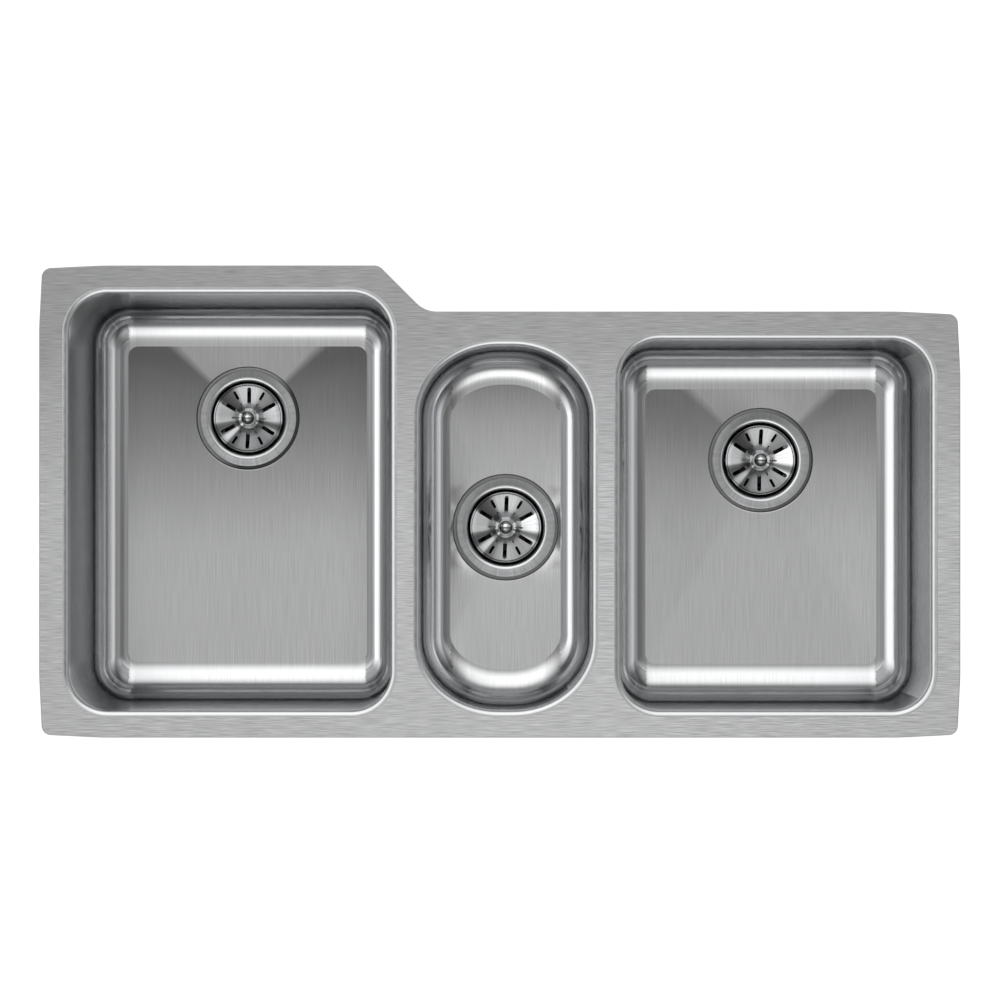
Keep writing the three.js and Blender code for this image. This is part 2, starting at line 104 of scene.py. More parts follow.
def rounded_corners(corners, steps):
    """A closed outline through (x, y, radius) corners, each rounded by an arc of some steps."""
    outline = []
    for i, (x, y, radius) in enumerate(corners):
        here = Vector((x, y))
        back = (Vector(corners[i - 1][:2]) - here).normalized()
        ahead = (Vector(corners[(i + 1) % len(corners)][:2]) - here).normalized()
        half = back.angle(ahead) / 2
        if radius <= 0 or half > math.radians(89.9):
            outline.append(here)
            continue
        centre = here + (back + ahead).normalized() * radius / math.sin(half)
        start = here + back * radius / math.tan(half) - centre
        turn = start.angle_signed(here + ahead * radius / math.tan(half) - centre)
        for step in range(steps + 1):
            a = math.atan2(start.y, start.x) - turn * step / steps
            outline.append(centre + radius * Vector((math.cos(a), math.sin(a))))
    return np.array([tuple(p) for p in outline])


def rounded_rectangle(x0, x1, y0, y1, corner):
    """A ring of (x, y) points, anticlockwise from the right-hand end of the rear right corner."""
    rx, ry = corner
    quarter = np.linspace(0, math.pi / 2, CORNER_STEPS + 1)
    share = np.linspace(0, 1, SIDE_STEPS + 1)[1:-1, None]
    centres = [(x1 - rx, y1 - ry), (x0 + rx, y1 - ry), (x0 + rx, y0 + ry), (x1 - rx, y0 + ry)]
    arcs = []
    for i, (cx, cy) in enumerate(centres):
        angles = quarter + i * math.pi / 2
        arcs.append(np.stack([cx + rx * np.cos(angles), cy + ry * np.sin(angles)], 1))
    ring = []
    for i, arc in enumerate(arcs):
        following = arcs[(i + 1) % 4]
        ring += [arc, arc[-1] * (1 - share) + following[0] * share]
    return np.concatenate(ring)


def side_faces(side, beyond=0):
    """Which faces of a ring lie on one of its straight sides, or up to some steps beyond its ends."""
    count = 4 * (CORNER_STEPS + SIDE_STEPS)
    first = SIDES.index(side) * (CORNER_STEPS + SIDE_STEPS) + CORNER_STEPS - beyond
    return (np.arange(count) - first) % count < SIDE_STEPS + 2 * beyond


def distances_round(ring):
    """Distance round a ring to each of its points, and back to the first."""
    steps = np.linalg.norm(np.roll(ring, -1, 0) - ring, axis=1)
    return np.concatenate([[0], np.cumsum(steps)])


def with_height(ring, z):
    return np.column_stack([ring, np.broadcast_to(z, len(ring))])


# ---- Meshes ----

def swept(name, rings, zones, slots, closed=True, caps=False):
    """A surface through rings of points.

    zones and slots hold the grain zone and material slot of each row of faces, as one value or one per face.
    """
    rings = np.array(rings)
    rows, count = rings.shape[:2]
    steps = np.linalg.norm(np.diff(np.concatenate([rings, rings[:1]]), axis=0), axis=2)
    arc = np.concatenate([[0], np.cumsum(steps.mean(1))])
    around = max((distances_round(ring) for ring in rings), key=lambda lengths: lengths[-1])
    turn = np.arange(count + 1) * 2 * math.pi / count * TURNED_RADIUS
    faces, uvs, materials = [], [], []
    for row in range(rows if closed else rows - 1):
        below = (row + 1) % rows
        row_zones = np.broadcast_to(zones[row], count)
        row_slots = np.broadcast_to(slots[row], count)
        for i in range(count):
            j = (i + 1) % count
            quad = [(row, i, row, i), (below, i, row + 1, i),
                    (below, j, row + 1, i + 1), (row, j, row, i + 1)]
            faces.append([r * count + c for r, c, _, _ in quad])
            for r, c, arc_at, around_at in quad:
                x, y = rings[r, c, :2]
                uvs.append(((x, y), (arc[arc_at], around[around_at]), (arc[arc_at], turn[around_at]))
                           [row_zones[i]])
            materials.append(row_slots[i])
    if caps:
        for row in (0, rows - 1):
            faces.append([row * count + c for c in range(count)])
            uvs += [tuple(rings[row, c, 1:]) for c in range(count)]
            materials.append(slots[0])
    mesh = bpy.data.meshes.new(name)
    mesh.from_pydata(rings.reshape(-1, 3).tolist(), [], faces)
    layer = mesh.uv_layers.new(name="grain")
    layer.data.foreach_set("uv", np.array(uvs, np.float32).ravel())
    mesh.polygons.foreach_set("material_index", materials)
    return mesh


def add_object(name, data):
    obj = bpy.data.objects.new(name, data)
    bpy.context.scene.collection.objects.link(obj)
    return obj


def finished(name, mesh, materials, sharp=35):
    """Welds, orients and shades a mesh, and makes its object."""
    bm = bmesh.new()
    bm.from_mesh(mesh)
    bmesh.ops.remove_doubles(bm, verts=bm.verts, dist=1e-7)
    bmesh.ops.dissolve_degenerate(bm, dist=1e-8, edges=bm.edges)
    bmesh.ops.delete(bm, geom=[e for e in bm.edges if not e.link_faces], context="EDGES")
    bmesh.ops.recalc_face_normals(bm, faces=bm.faces)
    bm.to_mesh(mesh)
    bm.free()
    for material in materials:
        mesh.materials.append(material)
    mesh.shade_smooth()
    mesh.set_sharp_from_angle(angle=math.radians(sharp))
    return add_object(name, mesh)


def place(obj, body, slot, node):
    """Rides a finished piece on its body, in place of its CAD node."""
    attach(obj, body)
    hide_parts(node)


def turned(outline, rounding=0.25, shape=None, slot_of=None, name="turned"):
    """A closed outline of (radius, height) pairs in millimetres, turned about Z.

    A third number in a pair rounds that corner by another radius. shape(radius, angles) bends rings out of
    round, and slot_of(radius, height) gives the material slot, both in metres.
    """
    corners = []
    for radius, height, *own in outline:
        corners.append((radius * MM, height * MM, (own[0] if own else rounding if radius else 0) * MM))
    angles = np.linspace(0, 2 * math.pi, TURN_STEPS, endpoint=False)
    rings, slots = [], []
    for r, z in rounded_corners(corners, 3):
        radii = np.full(TURN_STEPS, r) if shape is None else shape(r, angles)
        rings.append(np.stack([radii * np.cos(angles), radii * np.sin(angles), np.full(TURN_STEPS, z)], 1))
        slots.append(slot_of(r, z) if slot_of else 0)
    return swept(name, rings, [TURNED] * len(rings), slots)


def ring_prism(outline, bore, bottom, top):
    """An upright ring between a round bore and an outline, with its outer edges rounded."""
    inner = outline / np.linalg.norm(outline, axis=1, keepdims=True) * bore
    bend = [(EDGE_ROUNDING * (1 - math.sin(a)), EDGE_ROUNDING * (1 - math.cos(a)))
            for a in np.radians([0, 45, 90])]
    rings = [with_height(inner, top)]
    rings += [with_height(drawn_in(outline, inset), top - drop) for inset, drop in bend]
    rings += [with_height(drawn_in(outline, inset), bottom + drop) for inset, drop in reversed(bend)]
    rings.append(with_height(inner, bottom))
    return swept("ring", rings, [TURNED] * len(rings), [0] * len(rings))


def joined(*meshes):
    """One mesh out of several."""
    bm = bmesh.new()
    for mesh in meshes:
        bm.from_mesh(mesh)
    whole = bpy.data.meshes.new(meshes[0].name)
    bm.to_mesh(whole)
    bm.free()
    return whole


# ---- Materials ----

class Nodes:
    """Short helpers to wire the nodes of a material or world."""

    def __init__(self, owner):
        owner.use_nodes = True
        self.material = owner
        self.tree = owner.node_tree
        self.surface = self.tree.nodes.get("Principled BSDF")

    def add(self, kind, **values):
        node = self.tree.nodes.new("ShaderNode" + kind)
        for key, value in values.items():
            setattr(node, key, value)
        return node

    def set(self, socket, value):
        if isinstance(value, bpy.types.NodeSocket):
            self.tree.links.new(value, socket)
        else:
            socket.default_value = value

    def principled(self, **values):
        for key, value in values.items():
            self.set(self.surface.inputs[key.replace("_", " ")], value)

    def math(self, operation, a, b=0.0):
        node = self.add("Math", operation=operation)
        self.set(node.inputs[0], a)
        self.set(node.inputs[1], b)
        return node.outputs[0]

    def grain(self, across, along, detail=2.0, seed=0.0):
        """Noise stretched along the brush lines: across and along are the size of a mark in metres."""
        uv = self.add("UVMap", uv_map="grain")
        scaled = self.add("Mapping")
        scaled.inputs["Scale"].default_value = (1 / across, 1 / along, 1)
        scaled.inputs["Location"].default_value = (seed, seed * 0.37, 0)
        self.tree.links.new(uv.outputs[0], scaled.inputs[0])
        noise = self.add("TexNoise", noise_dimensions="2D")
        noise.inputs["Scale"].default_value = 1.0
        noise.inputs["Detail"].default_value = detail
        self.tree.links.new(scaled.outputs[0], noise.inputs["Vector"])
        return noise.outputs[0]

    def ramp(self, value, *stops):
        """Piecewise straight line through (value, result) stops."""
        node = self.add("FloatCurve")
        first, last = stops[0][0], stops[-1][0]
        scaled = self.math("DIVIDE", self.math("SUBTRACT", value, first), last - first)
        self.set(node.inputs["Value"], scaled)
        peak = max(result for _, result in stops)
        points = node.mapping.curves[0].points
        while len(points) < len(stops):
            points.new(0.5, 0.5)
        for point, (at, result) in zip(points, stops):
            point.location = ((at - first) / (last - first), result / peak)
            point.handle_type = "VECTOR"
        node.mapping.update()
        return self.math("MULTIPLY", node.outputs[0], peak)

    def spread(self, value, low, high):
        """value from 0.3..0.7 to low..high."""
        node = self.add("MapRange")
        self.set(node.inputs["Value"], value)
        for socket, number in (("From Min", 0.3), ("From Max", 0.7), ("To Min", low), ("To Max", high)):
            node.inputs[socket].default_value = number
        return node.outputs[0]

    def tint(self, level, colour):
        """colour times a grey level."""
        node = self.add("VectorMath", operation="SCALE")
        node.inputs[0].default_value = colour
        self.set(node.inputs["Scale"], level)
        return node.outputs[0]

    def bump(self, height, distance):
        node = self.add("Bump")
        node.inputs["Distance"].default_value = distance
        self.set(node.inputs["Height"], height)
        return node.outputs[0]

    def steel(self, grey, colour, roughness, normal, edge=1.0, anisotropy=0.0):
        """Bare metal. edge is the tint of glancing reflections; anisotropy spreads light along U."""
        tangent = self.add("Tangent", direction_type="UV_MAP", uv_map="grain").outputs[0]
        self.principled(Base_Color=self.tint(grey, colour), Metallic=1.0, Roughness=roughness, Normal=normal,
                        Specular_Tint=(edge, edge, edge, 1), Anisotropic=anisotropy, Tangent=tangent)
        return self.material


def brushed_steel(name, level=0.62, contrast=0.035, roughness=0.2, anisotropy=0.9, mark=(0.75, 50),
                  edge=1.0, shade=None):
    """Steel brushed along the V axis of the grain map, so that it spreads light along U.

    mark is the size of a brush mark in millimetres, and shade(nodes) gives a factor on the grey level.
    """
    n = Nodes(bpy.data.materials.new(name))
    fine = n.grain(mark[0] * MM, mark[1] * MM)
    broad = n.grain(mark[0] * 7 * MM, mark[1] * 2 * MM, seed=3.1)
    grey = n.math("ADD", n.spread(fine, level - contrast, level + contrast),
                  n.spread(broad, -contrast / 8, contrast / 8))
    if shade:
        grey = n.math("MULTIPLY", grey, shade(n))
    return n.steel(grey, (0.995, 1.0, 1.008), n.spread(fine, roughness - 0.02, roughness + 0.02),
                   n.bump(fine, 0.004 * MM), edge, anisotropy)


def pressed_steel(name, level, roughness=0.14, edge=0.65, shade=None):
    """Steel of the drawn walls: smoother, with faint press lines along V."""
    n = Nodes(bpy.data.materials.new(name))
    lines = n.grain(3.2 * MM, 4000 * MM, detail=3)
    fine = n.grain(0.7 * MM, 60 * MM, seed=2.3)
    grey = n.math("ADD", n.spread(lines, level - 0.05, level + 0.05), n.spread(fine, -0.03, 0.03))
    if shade:
        grey = n.math("MULTIPLY", grey, shade(n))
    return n.steel(grey, (0.99, 1.0, 1.012), n.spread(fine, roughness - 0.02, roughness + 0.03),
                   n.bump(lines, 0.05 * MM), edge, anisotropy=0.5)


def polished_steel(name, level, roughness=0.12):
    """Bright steel with faint turning marks and smears."""
    n = Nodes(bpy.data.materials.new(name))
    rings = n.grain(0.35 * MM, 4000 * MM)
    smear = n.grain(5 * MM, 9 * MM, seed=1.7)
    grey = n.math("ADD", n.spread(rings, level - 0.03, level + 0.03), n.spread(smear, -0.015, 0.015))
    return n.steel(grey, (0.99, 1.0, 1.01), n.spread(smear, roughness - 0.03, roughness + 0.04),
                   n.bump(rings, 0.003 * MM))


def turned_steel(name, level, roughness, anisotropy, sectors, radial=None):
    """Steel with fine circular marks and sectors of painted highlight and painted shade: (clockwise degrees
    from the rear, factor).

    radial gives stops of painted light and shade, as (distance along U, factor). Glancing reflections are
    then darker.
    """
    n = Nodes(bpy.data.materials.new(name))
    rings = n.grain(0.4 * MM, 4000 * MM)
    streaks = n.grain(4000 * MM, 1.1 * MM, detail=3, seed=4.4)
    anticlockwise = n.math("DIVIDE", grain_map(n)[1], math.radians(1) * TURNED_RADIUS)
    grey = n.math("ADD", n.spread(rings, level - 0.02, level + 0.02), n.spread(streaks, -0.05, 0.05))
    grey = n.math("MULTIPLY", grey, n.ramp(clockwise_from_rear(n, anticlockwise), *sectors))
    edge = 1.0
    if radial:
        grey = n.math("MULTIPLY", grey, n.ramp(grain_map(n)[0], *radial))
        edge = 0.25
    return n.steel(grey, (0.99, 1.0, 1.01), n.spread(rings, roughness - 0.02, roughness + 0.02),
                   n.bump(rings, 0.003 * MM), edge, anisotropy)


def plain(name, colour, roughness, mark=1.5, contrast=0.12, bump=0.08, metallic=0.0):
    """Rubber, fibre, nylon and cast metal: mottled colour and a fine grainy surface."""
    n = Nodes(bpy.data.materials.new(name))
    speck = n.grain(mark * MM, mark * MM, detail=4)
    cloud = n.grain(mark * 14 * MM, mark * 14 * MM, seed=5.3)
    level = n.math("ADD", n.spread(speck, 1 - contrast, 1 + contrast), n.spread(cloud, -contrast, contrast))
    n.principled(
        Base_Color=n.tint(level, colour),
        Metallic=metallic,
        Roughness=n.spread(cloud, roughness - 0.06, roughness + 0.06),
        Normal=n.bump(speck, bump * MM),
    )
    return n.material


# Painted shade on the brushed flange and floors, darker towards the rear. Stops are (distance behind the
# origin, factor).
FLANGE_SHADE = ((-0.02, 1), (0.22, 1), (0.26, 0.97), (0.305, 0.87), (0.36, 0.79), (0.42, 0.66), (0.52, 0.62))
FLOOR_SHADES = {
    "left": ((0, 1), (0.15, 1), (0.2, 0.97), (0.225, 0.91), (0.25, 0.82), (0.275, 0.73), (0.3, 0.63),
             (0.325, 0.53), (0.35, 0.45), (0.375, 0.38), (0.4, 0.31), (0.42, 0.26), (0.5, 0.24)),
    "centre": ((0, 0.96), (0.13, 1), (0.25, 1), (0.28, 0.96), (0.3, 0.91), (0.32, 0.85), (0.34, 0.77),
               (0.36, 0.65), (0.375, 0.55), (0.388, 0.45), (0.45, 0.45)),
    "right": ((0, 1), (0.15, 1), (0.2, 0.985), (0.225, 0.94), (0.25, 0.87), (0.275, 0.79), (0.3, 0.68),
              (0.325, 0.55), (0.35, 0.45), (0.365, 0.4), (0.38, 0.37), (0.45, 0.37)),
}
# Painted shade and light along the sink, as factors: (distance to the right of the origin, factor).
FLANGE_SHADE_ALONG = ((-0.51, 0.88), (-0.2, 0.93), (0.05, 1), (0.3, 1.08), (0.51, 1.16))
FLOOR_SHADES_ALONG = {
    "left": ((-0.5, 1.12), (-0.42, 1.1), (-0.38, 1.05), (-0.3, 1), (-0.19, 1), (-0.155, 0.9), (-0.1, 0.9)),
    "centre": ((-0.07, 1.1), (-0.05, 1.12), (-0.03, 1.02), (0, 1), (0.03, 0.97), (0.07, 0.9)),
    "right": ((0.1, 1.05), (0.18, 1.05), (0.22, 1), (0.42, 1), (0.45, 0.95)),
}
FLOOR_LEVELS = {"left": 0.66, "centre": 0.74, "right": 0.73}
# Painted shade on the narrow strips of the centre floor beside its drain: (distance to the side, factor), and
# how that factor gives way to 1 with (distance behind or in front, share).
STRIP_SHADE = ((0, 1), (0.046, 1), (0.058, 0.72), (0.1, 0.7))
STRIP_REACH = ((0, 0), (0.02, 0), (0.05, 1), (0.1, 1))
STRIP_FAR = 0.1
WEDGE_SHADE = 0.75  # painted light: the level the floor's painted shade is lifted to on the creased facet between the drain and the rear wall
WEDGE_SIDES = ((0, 0), (0.87, 0), (1.08, 1), (3, 1))  # (distance behind the drain over distance aside, share)
WEDGE_FAR = 3.0
CORNER_SHADE = 0.35  # painted shade factor on the bottom fillet where it runs into a corner
# Widths over which the bands' painted shade fades in at their ends.
BAND_FADES = {"left": 5 * MM, "centre": 22 * MM, "right": 5 * MM}


def grain_map(n):
    """U and V of the grain map, in metres."""
    uv = n.add("SeparateXYZ")
    n.set(uv.inputs[0], n.add("UVMap", uv_map="grain").outputs[0])
    return uv.outputs[0], uv.outputs[1]


# Painted shade on the flange: darker to the rear, with painted shade and light along the sink.
def flange_shade(n):
    across, along = grain_map(n)
    return n.math("MULTIPLY", n.ramp(across, *FLANGE_SHADE), n.ramp(along, *FLANGE_SHADE_ALONG))


def floor_shade(bowl):
    """Painted shade on the floor: darker to the rear, with a lighter wedge behind a side bowl's drain."""
    def shade(n):
        x, y = grain_map(n)
        across = n.math("ABSOLUTE", n.math("SUBTRACT", x, bowl.drain.x))
        behind = n.math("SUBTRACT", y, bowl.drain.y)
        level = n.ramp(y, *FLOOR_SHADES[bowl.name])
        if bowl.name != "centre":
            steepness = n.math("MAXIMUM", n.math("DIVIDE", behind, n.math("ADD", across, 0.1 * MM)), 0.0)
            facet = n.ramp(n.math("MINIMUM", steepness, WEDGE_FAR), *WEDGE_SIDES)
            lifted = n.math("MULTIPLY", n.math("SUBTRACT", WEDGE_SHADE, level), facet)
            level = n.math("ADD", level, n.math("MAXIMUM", lifted, 0.0))
        else:
            beside = n.ramp(n.math("MINIMUM", across, STRIP_FAR), *STRIP_SHADE)
            away = n.ramp(n.math("MINIMUM", n.math("ABSOLUTE", behind), STRIP_FAR), *STRIP_REACH)
            level = n.math("MULTIPLY", level, n.math("MAXIMUM", beside, away))
        return n.math("MULTIPLY", level, n.ramp(x, *FLOOR_SHADES_ALONG[bowl.name]))
    return shade


# Painted highlight and shade sectors of the turned pieces, as (degrees clockwise from the rear, factor).
RECESS_SECTORS = {
    "left": ((0, 0.5), (35, 0.5), (60, 0.1), (190, 0.1), (220, 0.4), (360, 0.5)),
    "centre": ((0, 0.45), (80, 0.35), (190, 0.35), (360, 0.45)),
    "right": ((0, 0.45), (60, 0.25), (150, 0.25), (190, 0.35), (360, 0.45)),
}
KNOB_SECTORS = ((0, 1), (70, 0.9), (95, 0.12), (130, 0.45), (230, 0.45), (265, 0.12), (290, 0.9), (360, 1))
RING_SECTORS = ((0, 0.5), (30, 0.6), (70, 1), (290, 1), (330, 0.6), (360, 0.5))
BASKET_SECTORS = (
    (0, 0.5), (18, 0.55), (28, 0.42), (33, 0.28), (58, 0.3), (63, 0.6), (67, 1.3), (96, 1.3), (101, 0.45),
    (105, 0.2), (112, 0.25), (116, 0.7), (121, 0.7), (127, 0.36), (150, 0.3), (178, 0.4), (198, 0.34),
    (205, 0.2), (219, 0.16), (224, 0.95), (232, 1), (237, 0.25), (252, 0.2), (259, 0.45), (263, 1.38),
    (297, 1.38), (302, 0.3), (306, 0.13), (330, 0.13), (337, 0.4), (342, 0.52), (360, 0.5),
)
# Painted light and shade along the outline of the dish and of the knob, as (distance along it, factor).
BASKET_HUB = ((0, 1), (62 * MM, 1), (69 * MM, 1.8), (82 * MM, 1.8))
KNOB_RIM = ((0, 1), (4.5 * MM, 0.9), (7 * MM, 0.4), (9 * MM, 0.1), (11.5 * MM, 0.1), (12.5 * MM, 0.9),
            (30 * MM, 0.9))


def clockwise_from_rear(n, anticlockwise):
    return n.math("MODULO", n.math("SUBTRACT", 450.0, anticlockwise), 360.0)


def band_steel(bowl):
    """The brushed front and rear of the bottom fillet, with painted shade where they run into the corners."""
    edge = bowl.fillet_ring(math.pi / 2, 0)[:, 0]
    fade = BAND_FADES[bowl.name]
    left, right = edge.min() - 2 * MM, edge.max() + 2 * MM

    def shade(n):
        return n.ramp(grain_map(n)[0],
                      (left, CORNER_SHADE), (left + fade, 1), (right - fade, 1), (right, CORNER_SHADE))
    return brushed_steel(bowl.name + "_band_steel", 0.66, contrast=0.05, shade=shade)


def shaded_low_side_steel(bowl):
    """The sides of the bottom fillet, with painted shade towards the ends of the bowl."""
    seam_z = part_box("deck_flange")[0].z
    round_bowl = distances_round(bowl.ring(bowl.wall_inset(seam_z) - SHEET, seam_z))
    into_end, out_of_end = ((0.1, 1), (0.4, CORNER_SHADE)), ((0.6, CORNER_SHADE), (0.9, 1))
    stops = []
    for corner, fade in enumerate((into_end, out_of_end, into_end, out_of_end)):
        first = corner * (CORNER_STEPS + SIDE_STEPS)
        stops += [(round_bowl[first + round(CORNER_STEPS * share)], factor) for share, factor in fade]

    def shade(n):
        return n.ramp(grain_map(n)[1], (0, 1), *stops, (round_bowl[-1], 1))
    return pressed_steel(bowl.name + "_low_side_steel", level=0.7, shade=shade)


def recess_steel(bowl):
    """The wall of the drain's recess, with painted shade where it faces away from the light."""
    def shade(n):
        x, y = grain_map(n)
        behind, aside = n.math("SUBTRACT", y, bowl.drain.y), n.math("SUBTRACT", x, bowl.drain.x)
        degrees = n.math("MULTIPLY", n.math("ARCTAN2", behind, aside), 180 / math.pi)
        return n.ramp(clockwise_from_rear(n, degrees), *RECESS_SECTORS[bowl.name])
    return brushed_steel(bowl.name + "_recess_steel", level=0.6, roughness=0.3, anisotropy=0.3, shade=shade)


# The flange's steel carries painted shade: darker to the rear, with painted shade and light along the sink.
FLANGE = brushed_steel("flange_steel", level=0.6, contrast=0.085, mark=(0.75, 26), shade=flange_shade)
LIP = polished_steel("lip_steel", level=0.6, roughness=0.2)
PRESSED = pressed_steel("pressed_steel", level=0.7)
# A darker copy of the wall steel, for painted shade low on the fillet's sides.
PRESSED_SHADED = pressed_steel("shaded_pressed_steel", level=0.42)
# A lighter copy of the wall steel, for painted light on the right walls.
PRESSED_LIT = pressed_steel("lit_right_pressed_steel", level=0.66, roughness=0.26, edge=0.62)
UNDERSIDE = brushed_steel("underside_steel", level=0.34, contrast=0.04, roughness=0.42, anisotropy=0.4,
                          edge=0.5)
POLISHED = polished_steel("polished_steel", level=0.5)
# The drain ring, knob and basket carry painted highlight and shade in sectors.
DRAIN_RING = turned_steel("drain_ring_steel", 0.44, 0.28, 0.5, RING_SECTORS)
KNOB = turned_steel("knob_steel", 0.8, 0.14, 0.0, KNOB_SECTORS, KNOB_RIM)
STEM = polished_steel("stem_steel", level=0.4, roughness=0.2)
# The slots' cut faces are near black: painted shade inside the slots.
SLOT_SHADE = polished_steel("shaded_slot_edge_steel", level=0.12, roughness=0.4)
THROAT = polished_steel("throat_steel", level=0.6, roughness=0.1)
THREAD = polished_steel("thread_steel", level=0.5, roughness=0.3)
BASKET = turned_steel("basket_steel", 0.72, 0.2, 0.7, BASKET_SECTORS, BASKET_HUB)
# Darkened: painted shade on the backing disc and clip seen through the slots.
SHADED_SPRING = polished_steel("spring_steel", level=0.16, roughness=0.35)
CAST = plain("cast_zinc", (0.42, 0.42, 0.43), 0.5, metallic=1.0)
RUBBER = plain("black_rubber", (0.02, 0.02, 0.021), 0.7, mark=0.8)
PAD = plain("damping_sheet", (0.045, 0.047, 0.05), 0.85, mark=1.2, bump=0.15)
FIBRE = plain("pressed_fibre", (0.33, 0.24, 0.14), 0.8, mark=0.9, contrast=0.25)
NYLON = plain("white_nylon", (0.72, 0.72, 0.68), 0.5, contrast=0.04)


# ---- Bowls ----

class Bowl:
    """Sizes of one bowl, read from the frame."""

    def __init__(self, name):
        self.name = name
        self.corner, self.floor_corner, fillet = (np.array(sizes) * MM for sizes in BOWLS[name])
        self.side, self.front, self.rear = fillet
        low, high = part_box(name + "_bowl")
        edge = self.wall_inset(high.z) - SHEET
        self.x0, self.x1 = low.x - edge, high.x + edge
        self.y0, self.y1 = low.y - edge, high.y + edge
        low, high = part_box(name + "_drain_body")
        self.drain = (low + high) / 2
        self.drain.z = high.z
        self.floor_z = high.z + DRAIN_SINK
        self.fillet_top = self.floor_z + FLOOR_FALL + FILLET_HEIGHT

    def wall_inset(self, z):
        return LIP_REACH + (-z - LIP_DROP) * WALL_DRAFT

    def ring(self, inset, z):
        flat = rounded_rectangle(self.x0 + inset, self.x1 - inset, self.y0 + inset, self.y1 - inset,
                                 self.corner - inset)
        return with_height(flat, z)

    def fillet_ring(self, angle, grow):
        """A ring of the bottom fillet: angle runs from 0 at the wall to 90 degrees at the floor."""
        base = self.wall_inset(self.fillet_top)
        cos, sin = math.cos(angle), math.sin(angle)
        side, front, rear = (base + w - (w + grow) * cos for w in (self.side, self.front, self.rear))
        corner = (self.corner - base) * cos + self.floor_corner * (1 - cos) + grow
        flat = rounded_rectangle(self.x0 + side, self.x1 - side, self.y0 + front, self.y1 - rear, corner)
        return with_height(flat, self.fillet_top - (FILLET_HEIGHT + grow) * sin)

    def floor_height(self, x, y):
        """Height of the floor, which rises from the drain's recess to the floor's edge."""
        inset = self.wall_inset(self.fillet_top)
        dx, dy = x - self.drain.x, y - self.drain.y
        left, right = self.x0 + inset + self.side, self.x1 - inset - self.side
        front, rear = self.y0 + inset + self.front, self.y1 - inset - self.rear
        room_x = right - self.drain.x if dx > 0 else self.drain.x - left
        room_y = rear - self.drain.y if dy > 0 else self.drain.y - front
        distance = math.hypot(dx, dy)
        edge = distance / max(abs(dx) / room_x, abs(dy) / room_y)
        share = (distance - RECESS_RADIUS) / (edge - RECESS_RADIUS)
        return self.floor_z + FLOOR_FALL * min(max(share, 0), 1)

    def circle_facing(self, ring, radius, z):
        """A circle about the drain with a point straight in from each point of a ring."""
        offset = ring[:, :2] - np.array(self.drain[:2])
        unit = offset / np.linalg.norm(offset, axis=1, keepdims=True)
        return with_height(np.array(self.drain[:2]) + unit * radius, z)

    def floor_rings(self, grow, shares):
        """Rings of the floor between its edge (share 1) and the drain's recess (share 0)."""
        edge = self.fillet_ring(math.pi / 2, grow)
        rim = self.circle_facing(edge, RECESS_RADIUS + RECESS_TURN + grow, self.floor_z - grow)
        return [rim * (1 - s) + edge * s for s in shares]


def bowl_mesh(bowl, seam_z):
    """A bowl's sheet, from the seam down its inside, through the drain hole and up its outside."""
    rings, zones, slots = [], [], []

    def add(ring, zone, slot):
        rings.append(ring)
        zones.append(zone)
        slots.append(slot)

    floor, wall, under, lit_right_wall, recess, low_side, shaded_foot, band = range(8)
    brushed_from = math.radians(48)  # below this the ends of the fillet are brushed with the floor
    shaded_foot_from = math.radians(74)  # below this its sides take painted shade
    # The right walls and half their corners take the lighter copy of the wall steel: painted light.
    walls = np.where(side_faces("right", CORNER_STEPS // 2), lit_right_wall, wall)
    fillet = np.radians(np.linspace(0, 90, 19))
    edge = bowl.fillet_ring(math.pi / 2, 0)
    for z in np.linspace(seam_z, bowl.fillet_top, 9)[:-1]:
        add(bowl.ring(bowl.wall_inset(z), z), AROUND, walls)
    for angle in fillet[:-1]:
        ring = bowl.fillet_ring(angle, 0)
        middle = (ring[:, 0] + np.roll(ring[:, 0], -1)) / 2
        brushed = (middle > edge[:, 0].min()) & (middle < edge[:, 0].max()) & (angle >= brushed_from)
        pressed = shaded_foot if angle >= shaded_foot_from else low_side if angle >= brushed_from else wall
        add(ring, np.where(brushed, ALONG_Y, AROUND), np.where(brushed, band, pressed))
    for ring in bowl.floor_rings(0, [*np.linspace(1, 0.07, 14), 0.005]):
        add(ring, ALONG_Y, floor)
    recess_z = bowl.drain.z - RECESS_DEPTH
    for angle in np.radians([0, 30, 60, 90]):
        radius = RECESS_RADIUS + RECESS_TURN * (1 - math.sin(angle))
        z = bowl.floor_z - RECESS_TURN * (1 - math.cos(angle))
        add(bowl.circle_facing(edge, radius, z), ALONG_Y, recess)
    for radius, z, zone, slot in (
        (RECESS_RADIUS, recess_z + RECESS_FOOT, ALONG_Y, recess),
        (RECESS_RADIUS - RECESS_FOOT, recess_z, ALONG_Y, recess),
        (HOLE_RADIUS, recess_z, AROUND, under),
        (HOLE_RADIUS, recess_z - SHEET, AROUND, under),
        (RECESS_RADIUS + SHEET - MM, recess_z - SHEET, AROUND, under),
        (RECESS_RADIUS + SHEET, recess_z - SHEET + MM, AROUND, under),
    ):
        add(bowl.circle_facing(edge, radius, z), zone, slot)
    for ring in bowl.floor_rings(SHEET, np.linspace(0, 1, 9)[:-1]):
        add(ring, ALONG_Y, under)
    for angle in fillet[::-1]:
        add(bowl.fillet_ring(angle, SHEET), AROUND, under)
    for z in np.linspace(bowl.fillet_top, seam_z, 7)[1:]:
        add(bowl.ring(bowl.wall_inset(z) - SHEET, z), AROUND, under)
    return swept(bowl.name + "_bowl_shell", rings, zones, slots)


# ---- Flange ----

